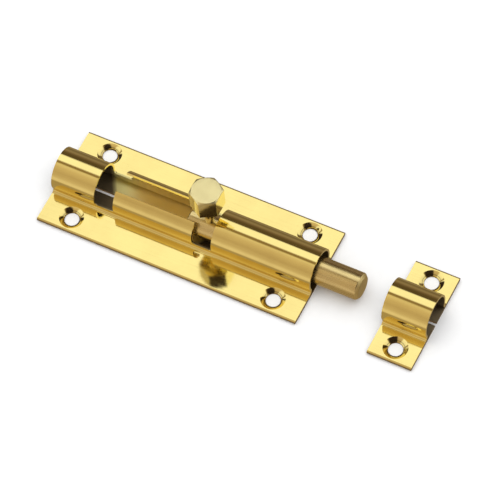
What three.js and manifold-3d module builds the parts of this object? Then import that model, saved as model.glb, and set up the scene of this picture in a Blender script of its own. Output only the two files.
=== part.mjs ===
// A brass barrel bolt and its keep.
//
// Both are folded from one section of thin sheet: each long edge of the strip is hemmed under, the two
// halves underneath stop just short of each other, and the sheet between the flanges stands up as a
// barrel. The rod slides along the barrel, and its knob drops into a notch at either end of the slot.
//
// Frame: millimetres. X runs along the rod, towards the keep. Z points away from the door, and z = 0
// is the fixing face. The bolt is drawn about the middle of its body, then the whole layout is shifted
// so that the origin is the middle of its footprint. The rod is shot, with its knob upright.

import * as THREE from 'three';
import { mergeVertices } from 'three/addons/utils/BufferGeometryUtils.js';
import Module from 'manifold-3d';

// Section of the strip. The inside of each foot closes on the folded-under sheet at the given angle.
const sheet = 0.6;
const stripWidth = 30;
const barrelRadius = 5.95;
const barrelHeight = 4.65;
const wallHalfWidth = 5.45;
const footRadius = 1;
const footClosesAt = 247;
const slitWidth = 0.9;

// Lengths along X
const bodyLength = 76;
const keepLength = 12.6;
const keepMiddle = 64.85;

// Countersunk screw holes
const holeSpacingX = 59.4;
const holeSpacingY = 21.7;
const holeRadius = 2;
const sinkRadius = 3.35;
const sinkDepth = 0.9;

// H-shaped opening: a slot along the top of the barrel, with a notch down both walls at each end
const slotStart = -25.3;
const slotEnd = 9.3;
const slotHalfAngle = THREE.MathUtils.degToRad(32);
const notchLength = 5.7;
const notchFloor = 3;
const notchCorner = 0.7;

// Rod
const rodRadius = 3.75;
const rodStart = 0.5;
const rodEnd = 50.5;
const tipChamfer = 0.8;
const tailChamfer = 0.4;

// Knob: distances are measured outwards from the rod's axis
const knobX = 6.4;
const neckFootRadius = 1.2;
const neckHeadRadius = 1.75;
const hexAcrossFlats = 8;
const hexStart = 11.4;
const hexEnd = 18.1;
const hexBevel = 0.2;
const faceRadius = 3.9;
const faceChamfer = THREE.MathUtils.degToRad(36);

// Clearance between the foot of the knob and the rod
const runningGap = 0.3;

// Smoothness
const barrelSteps = 44;
const filletSteps = 6;
const roundSegments = 48;

const layoutMiddle = (keepMiddle + keepLength / 2 - bodyLength / 2) / 2;
const flangeThickness = 2 * sheet;
const overshoot = 2;
const knobRoot = rodRadius + runningGap;

const wasm = await Module();
wasm.setup();

function toSolid(geometry) {
  const bare = geometry.clone();
  bare.deleteAttribute('normal');
  bare.deleteAttribute('uv');
  const merged = mergeVertices(bare);
  return new wasm.Manifold(new wasm.Mesh({
    numProp: 3,
    vertProperties: new Float32Array(merged.attributes.position.array),
    triVerts: new Uint32Array(merged.index.array),
  }));
}

function toGeometry(solid) {
  const mesh = solid.getMesh();
  const geometry = new THREE.BufferGeometry();
  geometry.setAttribute('position', new THREE.BufferAttribute(mesh.vertProperties, 3));
  geometry.setIndex(new THREE.BufferAttribute(mesh.triVerts, 1));
  geometry.computeVertexNormals();
  return geometry;
}

function arc(centre, radius, fromDegrees, toDegrees, steps) {
  return Array.from({ length: steps + 1 }, (_, i) => {
    const angle = THREE.MathUtils.degToRad(fromDegrees + ((toDegrees - fromDegrees) * i) / steps);
    return new THREE.Vector2(
      centre.x + radius * Math.cos(angle),
      centre.y + radius * Math.sin(angle),
    );
  });
}

function mirrored(points) {
  return points.map((point) => new THREE.Vector2(-point.x, point.y));
}

// A solid whose section in Y and Z is the given outline, running from one X to another.
function alongX(outline, start, end) {
  const geometry = new THREE.ExtrudeGeometry(new THREE.Shape(outline), {
    depth: end - start,
    bevelEnabled: false,
  });
  geometry.applyMatrix4(new THREE.Matrix4().makeBasis(
    new THREE.Vector3(0, 1, 0),
    new THREE.Vector3(0, 0, 1),
    new THREE.Vector3(1, 0, 0),
  ));
  geometry.translate(start, 0, 0);
  return geometry;
}

// Angle below the horizontal at which a circle of this radius meets an upright wall.
function wallAngle(radius, halfWidth) {
  return THREE.MathUtils.radToDeg(Math.acos(halfWidth / radius));
}

// The rear half of the folded strip is drawn from the slit to the crown, outside and inside, and the
// front half mirrors it. A foot bends up off the folded-under sheet, and leaves a small wedge beneath it.
function stripOutline() {
  const axis = new THREE.Vector2(0, barrelHeight);
  const hemCentre = new THREE.Vector2(stripWidth / 2 - sheet, sheet);
  const footCentre = new THREE.Vector2(wallHalfWidth + footRadius, flangeThickness + footRadius);
  const innerRadius = barrelRadius - sheet;
  const innerHalfWidth = wallHalfWidth - sheet;
  const footInside = arc(footCentre, footRadius + sheet, footClosesAt, 180, filletSteps);

  const outside = [
    new THREE.Vector2(slitWidth / 2, 0),
    ...arc(hemCentre, sheet, -90, 90, filletSteps),
    ...arc(footCentre, footRadius, 270, 180, filletSteps),
    ...arc(axis, barrelRadius, -wallAngle(barrelRadius, wallHalfWidth), 90, barrelSteps / 2),
  ];
  const inside = [
    new THREE.Vector2(slitWidth / 2, sheet),
    new THREE.Vector2(footInside[0].x, sheet),
    ...footInside,
    ...arc(axis, innerRadius, -wallAngle(innerRadius, innerHalfWidth), 90, barrelSteps / 2),
  ];
  return [
    ...outside,
    ...mirrored(outside).reverse().slice(1),
    ...mirrored(inside),
    ...inside.reverse().slice(1),
  ];
}

// A countersunk hole straight down through a flange.
function screwHole(x, y) {
  const profile = [
    new THREE.Vector2(0, -overshoot),
    new THREE.Vector2(holeRadius, -overshoot),
    new THREE.Vector2(holeRadius, flangeThickness - sinkDepth),
    new THREE.Vector2(sinkRadius, flangeThickness),
    new THREE.Vector2(sinkRadius, flangeThickness + overshoot),
    new THREE.Vector2(0, flangeThickness + overshoot),
  ];
  const geometry = new THREE.LatheGeometry(profile, roundSegments);
  geometry.rotateX(Math.PI / 2);
  geometry.translate(x, y, 0);
  return toSolid(geometry);
}

// The wedge of barrel wall that the long slot removes, with edges that point at the barrel's axis.
function slotCutter() {
  const reach = barrelRadius + overshoot;
  const outline = [
    new THREE.Vector2(0, barrelHeight),
    new THREE.Vector2(reach * Math.tan(slotHalfAngle), barrelHeight + reach),
    new THREE.Vector2(-reach * Math.tan(slotHalfAngle), barrelHeight + reach),
  ];
  return toSolid(alongX(outline, slotStart, slotEnd));
}

// A notch is cut straight across the barrel, with rounded corners at its floor.
function notchCutter(start) {
  const end = start + notchLength;
  const top = barrelHeight + barrelRadius + overshoot;
  const leftCorner = new THREE.Vector2(start + notchCorner, notchFloor + notchCorner);
  const rightCorner = new THREE.Vector2(end - notchCorner, notchFloor + notchCorner);
  const outline = [
    new THREE.Vector2(start, top),
    ...arc(leftCorner, notchCorner, 180, 270, filletSteps),
    ...arc(rightCorner, notchCorner, 270, 360, filletSteps),
    new THREE.Vector2(end, top),
  ];
  const reach = barrelRadius + overshoot;
  const geometry = new THREE.ExtrudeGeometry(new THREE.Shape(outline), {
    depth: 2 * reach,
    bevelEnabled: false,
  });
  geometry.rotateX(Math.PI / 2);
  geometry.translate(0, reach, 0);
  return toSolid(geometry);
}

function boltBody() {
  let solid = toSolid(alongX(stripOutline(), -bodyLength / 2, bodyLength / 2));
  const cutters = [
    slotCutter(),
    notchCutter(slotStart),
    notchCutter(slotEnd - notchLength),
  ];
  for (const x of [-holeSpacingX / 2, holeSpacingX / 2]) {
    for (const y of [-holeSpacingY / 2, holeSpacingY / 2]) {
      cutters.push(screwHole(x, y));
    }
  }
  for (const cutter of cutters) {
    solid = solid.subtract(cutter);
  }
  return toGeometry(solid);
}

function keep() {
  let solid = toSolid(alongX(stripOutline(), -keepLength / 2, keepLength / 2));
  for (const y of [-holeSpacingY / 2, holeSpacingY / 2]) {
    solid = solid.subtract(screwHole(0, y));
  }
  return toGeometry(solid);
}

// Turned about its own axis, which lies along X.
function rod() {
  const profile = [
    new THREE.Vector2(0, rodStart),
    new THREE.Vector2(rodRadius - tailChamfer, rodStart),
    new THREE.Vector2(rodRadius, rodStart + tailChamfer),
    new THREE.Vector2(rodRadius, rodEnd - tipChamfer),
    new THREE.Vector2(rodRadius - tipChamfer, rodEnd),
    new THREE.Vector2(0, rodEnd),
  ];
  const geometry = new THREE.LatheGeometry(profile, roundSegments);
  geometry.rotateZ(-Math.PI / 2);
  return geometry;
}

// A hexagonal head on a tapered neck, standing on Z. Its flats face along X, so a corner leads when it
// turns. The outer end is chamfered in the lathe, which trims the hexagon's corners. The foot of the neck
// is hollowed to the rod's curve, a running gap clear of it.
function knob() {
  const cornerRadius = hexAcrossFlats / Math.sqrt(3);
  const hexProfile = [
    new THREE.Vector2(0, hexStart),
    new THREE.Vector2(cornerRadius - hexBevel, hexStart),
    new THREE.Vector2(cornerRadius, hexStart + hexBevel),
    new THREE.Vector2(cornerRadius, hexEnd),
    new THREE.Vector2(0, hexEnd),
  ];
  const hexagon = new THREE.LatheGeometry(hexProfile, 6);
  hexagon.rotateX(Math.PI / 2);

  const reach = cornerRadius + overshoot;
  const chamferStart = hexEnd - (reach - faceRadius) * Math.tan(faceChamfer);
  const turnedProfile = [
    new THREE.Vector2(0, hexStart - overshoot),
    new THREE.Vector2(reach, hexStart - overshoot),
    new THREE.Vector2(reach, chamferStart),
    new THREE.Vector2(faceRadius, hexEnd),
    new THREE.Vector2(0, hexEnd),
  ];
  const turned = new THREE.LatheGeometry(turnedProfile, roundSegments);
  turned.rotateX(Math.PI / 2);

  const neckEnd = hexStart + hexBevel;
  const neck = new THREE.CylinderGeometry(neckHeadRadius, neckFootRadius, neckEnd, roundSegments / 2);
  neck.rotateX(Math.PI / 2);
  neck.translate(0, 0, neckEnd / 2);

  const hollowLength = 2 * neckHeadRadius + overshoot;
  const hollow = new THREE.CylinderGeometry(knobRoot, knobRoot, hollowLength, 2 * roundSegments);
  hollow.rotateZ(Math.PI / 2);

  const head = toSolid(hexagon).intersect(toSolid(turned));
  return toGeometry(head.add(toSolid(neck)).subtract(toSolid(hollow)));
}

function piece(name, geometry, color, metalness, roughness) {
  const material = new THREE.MeshStandardMaterial({ color, metalness, roughness });
  const mesh = new THREE.Mesh(geometry, material);
  mesh.name = name;
  return mesh;
}

const barrelBolt = new THREE.Group();

const bodyMesh = piece('bolt_body', boltBody(), 0xf0d98a, 1, 0.12);
const keepMesh = piece('keep', keep(), 0xf0d98a, 1, 0.12);
keepMesh.position.x = keepMiddle;

const rodMesh = piece('rod', rod(), 0xc8a56a, 1, 0.35);
rodMesh.position.z = barrelHeight;

const knobMesh = piece('knob', knob(), 0xf3e3a4, 1, 0.15);
knobMesh.position.set(knobX, 0, barrelHeight);

barrelBolt.add(bodyMesh, keepMesh, rodMesh, knobMesh);
barrelBolt.position.x = -layoutMiddle;

export default barrelBolt;
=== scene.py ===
import math

import bmesh
import bpy
from mathutils import Matrix, Vector


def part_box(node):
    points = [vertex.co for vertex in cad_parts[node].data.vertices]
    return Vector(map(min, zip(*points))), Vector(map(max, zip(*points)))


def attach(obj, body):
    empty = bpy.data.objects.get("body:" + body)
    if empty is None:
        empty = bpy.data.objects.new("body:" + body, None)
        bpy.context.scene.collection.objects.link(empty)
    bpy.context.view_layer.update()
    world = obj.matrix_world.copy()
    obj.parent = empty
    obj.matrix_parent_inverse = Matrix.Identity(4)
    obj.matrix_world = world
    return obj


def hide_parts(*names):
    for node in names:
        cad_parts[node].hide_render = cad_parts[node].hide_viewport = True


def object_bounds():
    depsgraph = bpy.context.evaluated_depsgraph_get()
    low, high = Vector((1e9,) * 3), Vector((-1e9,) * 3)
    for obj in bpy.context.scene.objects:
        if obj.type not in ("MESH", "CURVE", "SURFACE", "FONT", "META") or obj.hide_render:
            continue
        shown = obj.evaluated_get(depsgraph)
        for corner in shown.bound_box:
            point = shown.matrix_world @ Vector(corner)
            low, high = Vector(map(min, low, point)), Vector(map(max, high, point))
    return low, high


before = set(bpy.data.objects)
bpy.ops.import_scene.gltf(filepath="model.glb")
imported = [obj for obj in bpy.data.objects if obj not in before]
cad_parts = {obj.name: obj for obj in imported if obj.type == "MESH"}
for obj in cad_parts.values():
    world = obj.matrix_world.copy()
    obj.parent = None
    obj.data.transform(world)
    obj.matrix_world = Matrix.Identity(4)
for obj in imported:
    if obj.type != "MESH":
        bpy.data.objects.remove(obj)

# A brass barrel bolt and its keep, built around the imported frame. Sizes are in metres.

cad_low, cad_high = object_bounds()

MM = 0.001

# Folded strip. The fold leaves a hairline seam between the two layers of each flange.
FLANGE = 1.2 * MM
SEAM = 0.03 * MM
SEAM_END_STEPS = 4
SHEET = (FLANGE - SEAM) / 2
FOOT_RADIUS = 1.0 * MM
SLIT = 0.9 * MM
BARREL_RADIUS = 5.95 * MM
WALL_HALF_WIDTH = 5.45 * MM

# Screw holes, at these distances from the middle of their plate
HOLE_X = 29.7 * MM
HOLE_Y = 10.85 * MM
HOLE_RADIUS = 2.0 * MM
SINK_RADIUS = 3.35 * MM
SINK_DEPTH = 0.9 * MM

# Opening in the barrel, measured from the middle of the plate
SLOT_START = -25.3 * MM
SLOT_END = 9.3 * MM
SLOT_HALF_ANGLE = math.radians(32)
NOTCH_LENGTH = 5.7 * MM
NOTCH_FLOOR = 3.0 * MM
NOTCH_CORNER = 0.7 * MM

# Rod and knob
TIP_CHAMFER = 0.8 * MM
TAIL_CHAMFER = 0.4 * MM
NECK_FOOT_RADIUS = 1.2 * MM
NECK_HEAD_RADIUS = 1.75 * MM
NECK_FILLET = 0.4 * MM
NECK_FILLET_STEPS = 8
NECK_FOOT_DEPTH = 0.9  # of the rod's radius
HEAD_LENGTH = 6.7 * MM
FACE_RADIUS = 3.9 * MM
FACE_CHAMFER = math.radians(36)

# Steps round a curve, and how far a cutter reaches past what it cuts
BARREL_STEPS = 96
FILLET_STEPS = 16
ROUND_STEPS = 120
OVERSHOOT = 2 * MM

# Eased edges
SHARP_ANGLE = math.radians(25)
SHEET_EASE = 0.08 * MM
BAR_EASE = 0.15 * MM
KNOB_EASE = 0.12 * MM
EASE_STEPS = 3
WELD_DISTANCE = 0.001 * MM
FLAT_FACE_WEIGHT = 60

# Camera: where it stands round the middle of the bolt's body, and how far to the side of it it looks
VIEW_AZIMUTH = math.radians(34.3)
VIEW_ELEVATION = math.radians(58.4)
VIEW_ROLL = math.radians(-8.4)
VIEW_DISTANCE = 0.976
AIM_RIGHT = 0.0156
AIM_UP = -0.0059
LENS = 267.3
CLIP_START = 0.05
CLIP_END = 20

# Places taken from the frame
body_low, body_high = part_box("bolt_body")
keep_low, keep_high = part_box("keep")
rod_low, rod_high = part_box("rod")
knob_low, knob_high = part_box("knob")
body_middle = (body_low + body_high) / 2
keep_middle = (keep_low + keep_high) / 2
rod_middle = (rod_low + rod_high) / 2
knob_middle = (knob_low + knob_high) / 2
rod_radius = (rod_high.z - rod_low.z) / 2
half_width = (body_high.y - body_low.y) / 2
axis_height = rod_middle.z


# ---------------------------------------------------------------- mesh tools

def arc(centre_u, centre_v, radius, start, end, steps):
    """Points along a circle, from one angle in degrees to another."""
    angles = [math.radians(start + (end - start) * i / steps) for i in range(steps + 1)]
    return [(centre_u + radius * math.cos(a), centre_v + radius * math.sin(a)) for a in angles]


def add_object(name, data):
    obj = bpy.data.objects.new(name, data)
    bpy.context.scene.collection.objects.link(obj)
    return obj


def swept(name, rings):
    """A closed solid through rings that all have the same number of points, with flat ends."""
    bm = bmesh.new()
    loops = [[bm.verts.new(point) for point in ring] for ring in rings]
    for first, second in zip(loops, loops[1:]):
        for i in range(len(first)):
            j = (i + 1) % len(first)
            bm.faces.new((first[i], first[j], second[j], second[i]))
    bm.faces.new(loops[0])
    bm.faces.new(loops[-1])
    bmesh.ops.recalc_face_normals(bm, faces=bm.faces)
    mesh = bpy.data.meshes.new(name)
    bm.to_mesh(mesh)
    bm.free()
    return add_object(name, mesh)


def along_x(name, outline, start, end):
    """A solid whose section in Y and Z is the outline."""
    return swept(name, [[(x, y, z) for y, z in outline] for x in (start, end)])


def along_y(name, outline, start, end):
    """A solid whose section in X and Z is the outline."""
    return swept(name, [[(x, y, z) for x, z in outline] for y in (start, end)])


def turned(name, profile, place):
    """A solid turned from pairs of (radius, distance along the axis). place gives a point of each ring."""
    angles = [2 * math.pi * i / ROUND_STEPS for i in range(ROUND_STEPS)]
    return swept(name, [[place(radius, along, a) for a in angles] for radius, along in profile])


def combine(obj, operation, others):
    """Joins, intersects or cuts obj with each of the others, which are used up."""
    for other in others:
        boolean = obj.modifiers.new(operation, "BOOLEAN")
        boolean.operation = operation
        boolean.solver = "EXACT"
        boolean.object = other
    graph = bpy.context.evaluated_depsgraph_get()
    mesh = bpy.data.meshes.new_from_object(obj.evaluated_get(graph))
    obj.modifiers.clear()
    obj.data = mesh
    for other in others:
        bpy.data.objects.remove(other)


def ease_edges(obj, width, stays_sharp=None):
    """Rounds the sharp edges a little and shades the rest smooth, while flat faces still look flat.

    An edge isn't rounded if stays_sharp holds for either of its ends."""
    bm = bmesh.new()
    bm.from_mesh(obj.data)
    weight = bm.edges.layers.float.new("bevel_weight_edge")
    for edge in bm.edges:
        if edge.calc_face_angle(0) < SHARP_ANGLE:
            continue
        if stays_sharp and any(stays_sharp(vertex.co) for vertex in edge.verts):
            edge.smooth = False
        else:
            edge[weight] = 1.0
    for face in bm.faces:
        face.smooth = True
    bm.to_mesh(obj.data)
    bm.free()
    bevel = obj.modifiers.new("edges", "BEVEL")
    bevel.limit_method = "WEIGHT"
    bevel.width = width
    bevel.segments = EASE_STEPS
    bevel.miter_outer = "MITER_ARC"
    weld = obj.modifiers.new("weld", "WELD")
    weld.merge_threshold = WELD_DISTANCE
    weighted = obj.modifiers.new("normals", "WEIGHTED_NORMAL")
    weighted.mode = "FACE_AREA"
    weighted.weight = FLAT_FACE_WEIGHT
    weighted.keep_sharp = True


# ---------------------------------------------------------------- plates

def strip_outline():
    """The folded strip, from the slit round the rear half to the crown and back down the front half."""
    hem_y = half_width - FLANGE / 2
    hem_z = FLANGE / 2
    foot_y = WALL_HALF_WIDTH + FOOT_RADIUS
    foot_z = FLANGE + FOOT_RADIUS
    inner_radius = BARREL_RADIUS - SHEET
    outer_drop = math.degrees(math.acos(WALL_HALF_WIDTH / BARREL_RADIUS))
    inner_drop = math.degrees(math.acos((WALL_HALF_WIDTH - SHEET) / inner_radius))
    quarter = BARREL_STEPS // 2

    outside = [(SLIT / 2, 0)]
    outside += arc(hem_y, hem_z, FLANGE / 2, -90, 90, FILLET_STEPS)
    outside += arc(foot_y, foot_z, FOOT_RADIUS, 270, 180, FILLET_STEPS)
    outside += arc(0, axis_height, BARREL_RADIUS, -outer_drop, 90, quarter)

    inside = [(SLIT / 2, SHEET)]
    inside += arc(hem_y, hem_z, SEAM / 2, -90, 90, SEAM_END_STEPS)
    inside += arc(foot_y, foot_z, FOOT_RADIUS + SHEET, 270, 180, FILLET_STEPS)
    inside += arc(0, axis_height, inner_radius, -inner_drop, 90, quarter)

    front_outside = [(-y, z) for y, z in reversed(outside[:-1])]
    front_inside = [(-y, z) for y, z in inside]
    return outside + front_outside + front_inside + inside[-2::-1]


def in_seam(point):
    """Whether a point is in the hairline between the layers of a flange."""
    across = abs(point.y)
    off_middle = abs(point.z - FLANGE / 2)
    return WALL_HALF_WIDTH < across < half_width - FLANGE / 2 + SEAM and off_middle < SEAM


def screw_hole(x, y):
    """A countersunk hole, cut from above through both layers of a flange."""
    profile = [
        (HOLE_RADIUS, -OVERSHOOT),
        (HOLE_RADIUS, FLANGE - SINK_DEPTH),
        (SINK_RADIUS, FLANGE),
        (SINK_RADIUS, FLANGE + OVERSHOOT),
    ]
    return turned("hole", profile, lambda r, z, a: (x + r * math.cos(a), y + r * math.sin(a), z))


def slot_cutter():
    """The wedge that opens the top of the barrel, with edges that point at its axis."""
    reach = BARREL_RADIUS + OVERSHOOT
    spread = reach * math.tan(SLOT_HALF_ANGLE)
    outline = [(0, axis_height), (spread, axis_height + reach), (-spread, axis_height + reach)]
    return along_x("slot", outline, body_middle.x + SLOT_START, body_middle.x + SLOT_END)


def notch_cutter(start):
    """A notch down both walls of the barrel, with rounded corners at its floor."""
    end = start + NOTCH_LENGTH
    top = axis_height + BARREL_RADIUS + OVERSHOOT
    corner_z = NOTCH_FLOOR + NOTCH_CORNER
    outline = [(start, top)]
    outline += arc(start + NOTCH_CORNER, corner_z, NOTCH_CORNER, 180, 270, FILLET_STEPS)
    outline += arc(end - NOTCH_CORNER, corner_z, NOTCH_CORNER, 270, 360, FILLET_STEPS)
    outline += [(end, top)]
    reach = BARREL_RADIUS + OVERSHOOT
    return along_y("notch", outline, -reach, reach)


def build_body():
    plate = along_x("bolt_body_shell", strip_outline(), body_low.x, body_high.x)
    cutters = [
        slot_cutter(),
        notch_cutter(body_middle.x + SLOT_START),
        notch_cutter(body_middle.x + SLOT_END - NOTCH_LENGTH),
    ]
    for x in (-HOLE_X, HOLE_X):
        for y in (-HOLE_Y, HOLE_Y):
            cutters.append(screw_hole(body_middle.x + x, y))
    combine(plate, "DIFFERENCE", cutters)
    ease_edges(plate, SHEET_EASE, in_seam)
    return plate


def build_keep():
    plate = along_x("keep_shell", strip_outline(), keep_low.x, keep_high.x)
    holes = [screw_hole(keep_middle.x, y) for y in (-HOLE_Y, HOLE_Y)]
    combine(plate, "DIFFERENCE", holes)
    ease_edges(plate, SHEET_EASE, in_seam)
    return plate


# ---------------------------------------------------------------- rod and knob

def build_rod():
    """Turned bar with a chamfer at each end."""
    def place(radius, along, angle):
        return (along, radius * math.cos(angle), axis_height + radius * math.sin(angle))

    profile = [
        (rod_radius - TAIL_CHAMFER, rod_low.x),
        (rod_radius, rod_low.x + TAIL_CHAMFER),
        (rod_radius, rod_high.x - TIP_CHAMFER),
        (rod_radius - TIP_CHAMFER, rod_high.x),
    ]
    rod = turned("rod_bar", profile, place)
    ease_edges(rod, BAR_EASE)
    return rod


def build_knob():
    """A hexagonal head, chamfered in the lathe, on a tapered neck whose foot is sunk into the rod."""
    def place(radius, along, angle):
        return (knob_middle.x + radius * math.cos(angle), radius * math.sin(angle), along)

    corner_radius = (knob_high.x - knob_low.x) / math.sqrt(3)
    head_start = knob_high.z - HEAD_LENGTH
    corners = [math.radians(30 + 60 * i) for i in range(6)]
    hexagons = [[place(corner_radius, z, a) for a in corners] for z in (head_start, knob_high.z)]
    head = swept("knob_head", hexagons)

    reach = corner_radius + OVERSHOOT
    chamfer_start = knob_high.z - (reach - FACE_RADIUS) * math.tan(FACE_CHAMFER)
    envelope = turned("envelope", [
        (reach, head_start - OVERSHOOT),
        (reach, chamfer_start),
        (FACE_RADIUS, knob_high.z),
        (FACE_RADIUS / 2, knob_high.z),
    ], place)
    combine(head, "INTERSECT", [envelope])

    fillet_middle = (NECK_HEAD_RADIUS + NECK_FILLET, head_start - NECK_FILLET)
    fillet = arc(*fillet_middle, NECK_FILLET, 180, 90, NECK_FILLET_STEPS)
    neck_top = (NECK_HEAD_RADIUS + NECK_FILLET, head_start + NECK_FILLET)
    neck_foot = (NECK_FOOT_RADIUS, axis_height + rod_radius * NECK_FOOT_DEPTH)
    neck = turned("neck", [neck_foot] + fillet + [neck_top], place)
    combine(head, "UNION", [neck])
    ease_edges(head, KNOB_EASE)
    return head


# ---------------------------------------------------------------- materials

# Marks, tarnish, grime with painted shade in the hollows, and wear. A strength is the share of the colour
# that they take over. A range is the pair of values between which a mask goes from nothing to full.
MARK_NOISE = (1.0, 4.0, 0.6)  # scale, detail and roughness, as in the two below
CLOUD_NOISE = (90.0, 5.0, 0.6)
WAVE_NOISE = (45.0, 1.0, 0.4)
MARK_RANGE = (0.35, 0.7)
MARK_ROUGHNESS = (-0.35, 0.45)  # of the metal's own roughness
STREAK_RANGE = (0.5, 0.75)
CLOUD_RANGE = (0.4, 0.7)
CLOUD_STRENGTH = 0.18
GRIME_AND_SHADE_REACH = 2.5 * MM
GRIME_AND_SHADE_RANGE = (0.75, 0.2)
GRIME_AND_SHADE_STRENGTH = 0.3
DIRT_ROUGHNESS = 0.1
WORN_WIDTH = 0.25 * MM
WORN_BRIGHTNESS = 1.06
WEAR_RANGE = (0.97, 0.75)
WEAR_STRENGTH = 0.5

# Inside of the barrel, with a painted highlight towards the notches and a painted shadow under the roof;
# low edges, painted with the floor's contact shade; and seam of the folded sheet. An inset is a range of
# distances inside the slot's ends.
LINING_MIDDLE = (1.0, 0.84, 0.39, 1.0)
LINING_LIT_END = (1.0, 0.94, 0.46, 1.0)
LINING_STRENGTH = 0.9
LINING_ROUGHNESS = 0.5
LINING_LIT_END_INSET = (9 * MM, 4 * MM)
HOLLOW_RANGE = (0.0, -1 * MM)
ROOF_SHADE = (0.14, 0.10, 0.07, 1.0)
ROOF_STRENGTH = 0.92
ROOF_INSET = (3.7 * MM, 2.1 * MM)
ROOF_LEAN = 0.6  # how far along the barrel the shadow's end moves for each step to the rear
LOW_EDGE_SHADE = (0.24, 0.16, 0.07, 1.0)
LOW_EDGE_RANGE = (0.98 * FLANGE, 0.65 * FLANGE)
UPRIGHT_RANGE = (0.9, 0.6)
GAP_SHADE = (0.03, 0.02, 0.01, 1.0)
GAP_RANGE = (1.2 * SEAM, 0.6 * SEAM)
BLEND = 0.5 * MM

# Faces cut in the lathe
RING_PITCH = 0.3 * MM
RING_DEPTH = 0.004 * MM
RING_STRENGTH = 0.2
WORKED_ROUGHNESS = 0.25
WORKED_BLEND = 0.05 * MM
KNOB_FACE_DEPTH = 0.5 * MM


class Nodes:
    """A short way to write a node tree."""

    def __init__(self, tree):
        self.tree = tree
        tree.nodes.clear()

    def add(self, kind, **settings):
        node = self.tree.nodes.new(kind)
        for name, value in settings.items():
            setattr(node, name, value)
        return node

    def link(self, source, target):
        if isinstance(source, (int, float, tuple)):
            target.default_value = source
        else:
            self.tree.links.new(source, target)

    def math(self, operation, *values):
        node = self.add("ShaderNodeMath", operation=operation)
        for value, socket in zip(values, node.inputs):
            self.link(value, socket)
        return node.outputs[0]

    def vector(self, operation, *values):
        node = self.add("ShaderNodeVectorMath", operation=operation)
        for value, socket in zip(values, node.inputs):
            self.link(value, socket)
        return node.outputs["Value" if operation == "DOT_PRODUCT" else "Vector"]

    def axis(self, vector, letter):
        node = self.add("ShaderNodeSeparateXYZ")
        self.link(vector, node.inputs[0])
        return node.outputs[letter]

    def remap(self, value, low, high, new_low, new_high):
        node = self.add("ShaderNodeMapRange")
        for source, socket in zip((value, low, high, new_low, new_high), node.inputs):
            self.link(source, socket)
        return node.outputs[0]

    def mask(self, value, nothing, full):
        """0 where the value is at nothing or beyond it, rising evenly to 1 at full."""
        return self.remap(value, nothing, full, 0.0, 1.0)

    def noise(self, vector, scale, detail, roughness):
        node = self.add("ShaderNodeTexNoise")
        self.link(vector, node.inputs["Vector"])
        self.link(scale, node.inputs["Scale"])
        self.link(detail, node.inputs["Detail"])
        self.link(roughness, node.inputs["Roughness"])
        return node.outputs["Fac"]

    def openness(self, distance):
        """1 on an open surface, and 0 where everything within the distance is hidden."""
        node = self.add("ShaderNodeAmbientOcclusion", samples=8)
        self.link(distance, node.inputs["Distance"])
        return node.outputs["AO"]

    def mix(self, factor, first, second):
        node = self.add("ShaderNodeMix", data_type="RGBA")
        self.link(factor, node.inputs["Factor"])
        self.link(first, node.inputs[6])
        self.link(second, node.inputs[7])
        return node.outputs[2]

    def bump(self, depth, height, normal=None):
        node = self.add("ShaderNodeBump")
        self.link(depth, node.inputs["Distance"])
        self.link(height, node.inputs["Height"])
        if normal is not None:
            self.link(normal, node.inputs["Normal"])
        return node.outputs[0]

    def surface(self, color, roughness):
        """The shader of a surface, joined to the material's output."""
        shader = self.add("ShaderNodeBsdfPrincipled")
        self.link(color, shader.inputs["Base Color"])
        self.link(roughness, shader.inputs["Roughness"])
        output = self.add("ShaderNodeOutputMaterial")
        self.link(shader.outputs[0], output.inputs["Surface"])
        return shader


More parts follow.
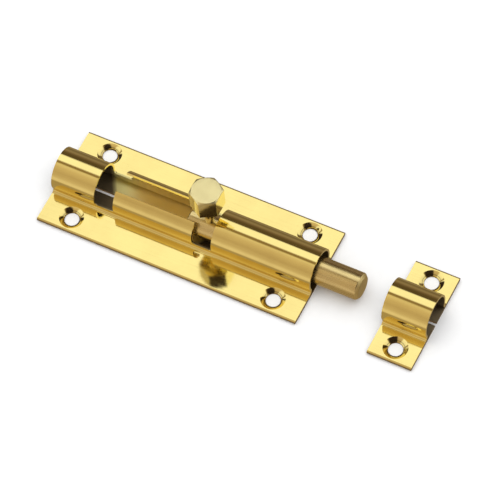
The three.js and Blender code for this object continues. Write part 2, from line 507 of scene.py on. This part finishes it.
def brass(name, color, tarnish, roughness, grain, grain_depth, wave_depth, streaks,
          folded=False, worked=None):
    """Brass with marks along the grain, cloudy tarnish, grime and painted shade in its corners, and edges
    worn bright.

    grain is the scale of the marks along each axis: a low number is the direction they run in.
    streaks is how strongly they're tarnished. For folded and worked, see in_the_fold and ring_marks."""
    material = bpy.data.materials.new(name)
    material.use_nodes = True
    nodes = Nodes(material.node_tree)
    place = nodes.add("ShaderNodeTexCoord").outputs["Object"]
    normal = nodes.add("ShaderNodeNewGeometry").outputs["Normal"]
    marks = nodes.noise(nodes.vector("MULTIPLY", place, grain), *MARK_NOISE)

    cloudy = nodes.mask(nodes.noise(place, *CLOUD_NOISE), *CLOUD_RANGE)
    streaky = nodes.mask(marks, *STREAK_RANGE)
    # Darker where the surroundings close in: partly grime, partly painted shade where light doesn't reach.
    grime_and_shade = nodes.mask(nodes.openness(GRIME_AND_SHADE_REACH), *GRIME_AND_SHADE_RANGE)
    shade = nodes.mix(nodes.math("MULTIPLY", cloudy, CLOUD_STRENGTH), color, tarnish)
    shade = nodes.mix(nodes.math("MULTIPLY", streaky, streaks), shade, tarnish)
    shade = nodes.mix(nodes.math("MULTIPLY", grime_and_shade, GRIME_AND_SHADE_STRENGTH), shade, tarnish)

    eased = nodes.add("ShaderNodeBevel", samples=4)
    nodes.link(WORN_WIDTH, eased.inputs["Radius"])
    sharpness = nodes.vector("DOT_PRODUCT", eased.outputs[0], normal)
    wear = nodes.mask(sharpness, *WEAR_RANGE)
    bright = tuple(min(1.0, channel * WORN_BRIGHTNESS) for channel in color[:3]) + (1.0,)
    shade = nodes.mix(nodes.math("MULTIPLY", wear, WEAR_STRENGTH), shade, bright)

    smoother, rougher = (share * roughness for share in MARK_ROUGHNESS)
    marked = nodes.remap(marks, *MARK_RANGE, smoother, rougher)
    rough = nodes.math("ADD", roughness, marked)
    rough = nodes.math("ADD", rough, nodes.math("MULTIPLY", grime_and_shade, DIRT_ROUGHNESS))

    bumped = nodes.bump(grain_depth, marks)
    bumped = nodes.bump(wave_depth, nodes.noise(place, *WAVE_NOISE), bumped)

    if folded:
        shade, rough = in_the_fold(nodes, place, normal, shade, rough)
    if worked:
        is_worked, rings = ring_marks(nodes, place, *worked)
        dull = nodes.mix(nodes.remap(rings, -1.0, 1.0, 0.0, RING_STRENGTH), color, tarnish)
        shade = nodes.mix(is_worked, shade, dull)
        rough = nodes.math("ADD", rough, nodes.math("MULTIPLY", is_worked, WORKED_ROUGHNESS))
        bumped = nodes.bump(RING_DEPTH, nodes.math("MULTIPLY", rings, is_worked), bumped)

    shader = nodes.surface(shade, rough)
    nodes.link(1.0, shader.inputs["Metallic"])
    nodes.link(bumped, shader.inputs["Normal"])
    return material


def in_the_fold(nodes, place, normal, shade, rough):
    """The sheet where polishing doesn't reach: satin inside the barrel, painted lighter towards the
    notches where light comes in and painted with a shadow under its roof, painted with contact shade low
    on its outer edges, and black in the seam."""
    sideways = nodes.math("ABSOLUTE", nodes.axis(place, "Y"))
    height = nodes.axis(place, "Z")

    from_axis = nodes.vector("SUBTRACT", place, (0.0, 0.0, axis_height))
    spoke = nodes.vector("MULTIPLY", from_axis, (0.0, 1.0, 1.0))
    facing_in = nodes.mask(nodes.vector("DOT_PRODUCT", spoke, normal), *HOLLOW_RANGE)
    between_walls = nodes.mask(sideways, WALL_HALF_WIDTH + BLEND, WALL_HALF_WIDTH)
    hollow = nodes.math("MULTIPLY", facing_in, between_walls)

    slot_middle = body_middle.x + (SLOT_START + SLOT_END) / 2
    slot_reach = (SLOT_END - SLOT_START) / 2
    from_slot = nodes.math("ABSOLUTE", nodes.math("SUBTRACT", nodes.axis(place, "X"), slot_middle))
    # Painted light: the lining is painted lighter towards the notches, where light comes in.
    lit_near_notch = nodes.mask(from_slot, *(slot_reach - inset for inset in LINING_LIT_END_INSET))
    lining_with_painted_light = nodes.mix(lit_near_notch, LINING_MIDDLE, LINING_LIT_END)
    lean = nodes.math("MULTIPLY", nodes.axis(place, "Y"), ROOF_LEAN)
    under_roof = nodes.math("SUBTRACT", from_slot, lean)
    roof_edges = [slot_reach - inset for inset in ROOF_INSET]
    roofed = nodes.remap(under_roof, *roof_edges, 0.0, ROOF_STRENGTH)

    # Painted shade: upright faces low by the floor are painted darker, as the floor's contact shade.
    upright = nodes.mask(nodes.math("ABSOLUTE", nodes.axis(normal, "Z")), *UPRIGHT_RANGE)
    near_floor = nodes.mask(height, *LOW_EDGE_RANGE)
    floor_contact_shade = nodes.math("MULTIPLY", upright, near_floor)

    off_seam = nodes.math("ABSOLUTE", nodes.math("SUBTRACT", height, FLANGE / 2))
    at_seam = nodes.mask(off_seam, *GAP_RANGE)
    in_flange = nodes.mask(sideways, WALL_HALF_WIDTH, WALL_HALF_WIDTH + BLEND)
    in_gap = nodes.math("MULTIPLY", at_seam, in_flange)

    shade = nodes.mix(nodes.math("MULTIPLY", hollow, LINING_STRENGTH), shade, lining_with_painted_light)
    shade = nodes.mix(nodes.math("MULTIPLY", hollow, roofed), shade, ROOF_SHADE)
    shade = nodes.mix(floor_contact_shade, shade, LOW_EDGE_SHADE)
    shade = nodes.mix(in_gap, shade, GAP_SHADE)
    rough = nodes.math("ADD", rough, nodes.math("MULTIPLY", hollow, LINING_ROUGHNESS))
    return shade, rough


def ring_marks(nodes, place, axis, start, centre):
    """Whether a place is past start along the axis, where a tool cut the metal, and the tool's waves
    round centre."""
    is_worked = nodes.mask(nodes.axis(place, axis), start, start + WORKED_BLEND)
    across = tuple(0.0 if letter == axis else 1.0 for letter in "XYZ")
    spoke = nodes.vector("MULTIPLY", nodes.vector("SUBTRACT", place, tuple(centre)), across)
    length = nodes.add("ShaderNodeVectorMath", operation="LENGTH")
    nodes.link(spoke, length.inputs[0])
    turns = nodes.math("MULTIPLY", length.outputs["Value"], 2 * math.pi / RING_PITCH)
    return is_worked, nodes.math("SINE", turns)


def sheet_brass():
    return brass("polished_brass", color=(0.96, 0.81, 0.31, 1), tarnish=(0.56, 0.40, 0.13, 1),
                 roughness=0.085, grain=(60, 4000, 4000), grain_depth=0.003 * MM, wave_depth=0.02 * MM,
                 streaks=0.12, folded=True)


def bar_brass():
    return brass("turned_brass", color=(0.80, 0.65, 0.30, 1), tarnish=(0.34, 0.21, 0.09, 1),
                 roughness=0.26, grain=(150, 3500, 3500), grain_depth=0.005 * MM, wave_depth=0.0,
                 streaks=0.3, worked=("X", rod_high.x - TIP_CHAMFER, rod_middle))


def knob_brass():
    return brass("knob_brass", color=(0.97, 0.88, 0.46, 1), tarnish=(0.36, 0.24, 0.10, 1),
                 roughness=0.10, grain=(300, 300, 5000), grain_depth=0.002 * MM, wave_depth=0.0,
                 streaks=0.1, worked=("Z", knob_high.z - KNOB_FACE_DEPTH, knob_middle))


# ---------------------------------------------------------------- stage, light and camera

FLOOR_HALF = 3.0
FLOOR_GAP = 0.02 * MM
FLOOR_NOISE = (400.0, 3.0, 0.5)
FLOOR_SHADES = ((0.88, 0.88, 0.88, 1), (0.92, 0.92, 0.92, 1))
FLOOR_ROUGHNESS = 0.8
PLAIN_WALL = (0.8, 0.8, 0.8, 1)
FILL_SIZE = 2.4
FILL_POWER = 16
FILL_PLACE = (body_middle.x, 0.2, 1.5)

# Shades of the tent that the brass reflects
WHITE = (1.1, 1.08, 1.05)
UMBER = (0.10, 0.07, 0.04)
SHADOW = (0.03, 0.02, 0.02)
LOW_FRONT = (0.40, 0.31, 0.20)

# The tent's shade at an angle in degrees round the rod's direction, measured from straight overhead. A
# negative angle leans to the rear.
TENT = [
    (-180, LOW_FRONT), (-140, (0.34, 0.27, 0.19)), (-118, (0.30, 0.24, 0.17)),
    (-102, (0.16, 0.12, 0.08)),
    (-82, (0.28, 0.22, 0.18)), (-68, (0.16, 0.11, 0.08)), (-58, UMBER), (-42, UMBER),
    (-37, WHITE), (-6, WHITE), (-1, (0.27, 0.19, 0.10)), (8, (0.27, 0.19, 0.10)),
    (13, (0.76, 0.65, 0.50)), (30, (0.64, 0.51, 0.37)),
    (57, (0.52, 0.40, 0.28)), (80, (0.60, 0.48, 0.36)), (95, (0.78, 0.67, 0.56)),
    (104, (0.74, 0.62, 0.50)), (110, LOW_FRONT), (180, LOW_FRONT),
]

# Round cards hung in the tent: the direction, half the angle it fills in degrees, and the shade
CARDS = [
    ((-0.76, -0.50, 0.42), 24, WHITE),
    ((0.70, 0.57, 0.42), 24, WHITE),
    ((0.50, -0.50, 0.69), 28, SHADOW),
    ((-0.86, 0.44, 0.10), 25, SHADOW),
]
CARD_EDGE = (1.15, 0.9)  # where a card's soft edge starts and ends, as shares of its half angle


def build_floor():
    """A pale floor, level with the fixing face. The brass reflects the tent instead of it."""
    half = FLOOR_HALF
    corners = [(-half, -half, 0), (half, -half, 0), (half, half, 0), (-half, half, 0)]
    mesh = bpy.data.meshes.new("floor")
    mesh.from_pydata(corners, [], [(0, 1, 2, 3)])
    floor = add_object("floor", mesh)
    floor.location.z = cad_low.z - FLOOR_GAP

    material = bpy.data.materials.new("pale_floor")
    material.use_nodes = True
    nodes = Nodes(material.node_tree)
    place = nodes.add("ShaderNodeTexCoord").outputs["Object"]
    color = nodes.mix(nodes.noise(place, *FLOOR_NOISE), *FLOOR_SHADES)
    nodes.surface(color, FLOOR_ROUGHNESS)
    mesh.materials.append(material)
    floor.visible_glossy = False


def build_world():
    """A studio tent with cards, seen only in the brass. The camera and the floor see plain pale walls."""
    world = bpy.data.worlds.new("studio")
    world.use_nodes = True
    bpy.context.scene.world = world
    nodes = Nodes(world.node_tree)
    direction = nodes.add("ShaderNodeTexCoord").outputs["Generated"]
    forward = nodes.math("MULTIPLY", nodes.axis(direction, "Y"), -1.0)
    angle = nodes.math("ARCTAN2", forward, nodes.axis(direction, "Z"))
    turn = nodes.mask(angle, -math.pi, math.pi)
    ramp = nodes.add("ShaderNodeValToRGB")
    nodes.link(turn, ramp.inputs[0])
    stops = ramp.color_ramp.elements
    stops[0].position, stops[1].position = 0.0, 1.0
    stops[0].color = TENT[0][1] + (1,)
    stops[1].color = TENT[-1][1] + (1,)
    for degrees, tent_shade in TENT[1:-1]:
        stops.new((degrees + 180) / 360).color = tent_shade + (1,)

    shade = ramp.outputs[0]
    for towards, half_angle, card_shade in CARDS:
        facing = nodes.vector("DOT_PRODUCT", direction, tuple(Vector(towards).normalized()))
        edge_start, edge_end = (math.cos(math.radians(half_angle) * share) for share in CARD_EDGE)
        covered = nodes.mask(facing, edge_start, edge_end)
        shade = nodes.mix(covered, shade, card_shade + (1,))
    mirrored = nodes.add("ShaderNodeLightPath").outputs["Is Glossy Ray"]
    background = nodes.add("ShaderNodeBackground")
    nodes.link(nodes.mix(mirrored, PLAIN_WALL, shade), background.inputs["Color"])
    output = nodes.add("ShaderNodeOutputWorld")
    nodes.link(background.outputs[0], output.inputs["Surface"])


def build_fill():
    """A wide soft lamp overhead. It lights the floor, and isn't seen in the brass."""
    lamp = bpy.data.lights.new("fill", "AREA")
    lamp.shape = "DISK"
    lamp.size = FILL_SIZE
    lamp.energy = FILL_POWER
    fill = add_object("fill", lamp)
    fill.location = FILL_PLACE
    fill.rotation_euler = (Vector(fill.location) - body_middle).to_track_quat("Z", "Y").to_euler()
    fill.visible_glossy = False


def build_camera():
    cos_elevation = math.cos(VIEW_ELEVATION)
    back = Vector((
        math.sin(VIEW_AZIMUTH) * cos_elevation,
        -math.cos(VIEW_AZIMUTH) * cos_elevation,
        math.sin(VIEW_ELEVATION),
    ))
    level_right = Vector((math.cos(VIEW_AZIMUTH), math.sin(VIEW_AZIMUTH), 0))
    level_up = back.cross(level_right)
    right = level_right * math.cos(VIEW_ROLL) + level_up * math.sin(VIEW_ROLL)
    up = back.cross(right)

    stand = Vector((body_middle.x, body_middle.y, cad_low.z))
    eye = stand + back * VIEW_DISTANCE
    aim = stand + right * AIM_RIGHT + up * AIM_UP
    view_back = (eye - aim).normalized()
    view_up = (up - view_back * up.dot(view_back)).normalized()
    view_right = view_up.cross(view_back)

    data = bpy.data.cameras.new("camera")
    data.lens = LENS
    data.clip_start = CLIP_START
    data.clip_end = CLIP_END
    camera = add_object("camera", data)
    turn = Matrix((view_right, view_up, view_back)).transposed()
    camera.matrix_world = Matrix.Translation(eye) @ turn.to_4x4()
    bpy.context.scene.camera = camera


# ---------------------------------------------------------------- assembly

def finish_piece(piece, material, body, node):
    """Gives a piece its finish, and puts it on its body in place of the CAD node."""
    piece.data.materials.clear()
    piece.data.materials.append(material)
    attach(piece, body)
    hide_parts(node)


sheet_material = sheet_brass()
finish_piece(build_body(), sheet_material, "plates", "bolt_body")
finish_piece(build_keep(), sheet_material, "plates", "keep")
finish_piece(build_rod(), bar_brass(), "rod", "rod")
finish_piece(build_knob(), knob_brass(), "knob", "knob")

build_floor()
build_world()
build_fill()
build_camera()
bpy.context.scene.view_settings.view_transform = "Standard"
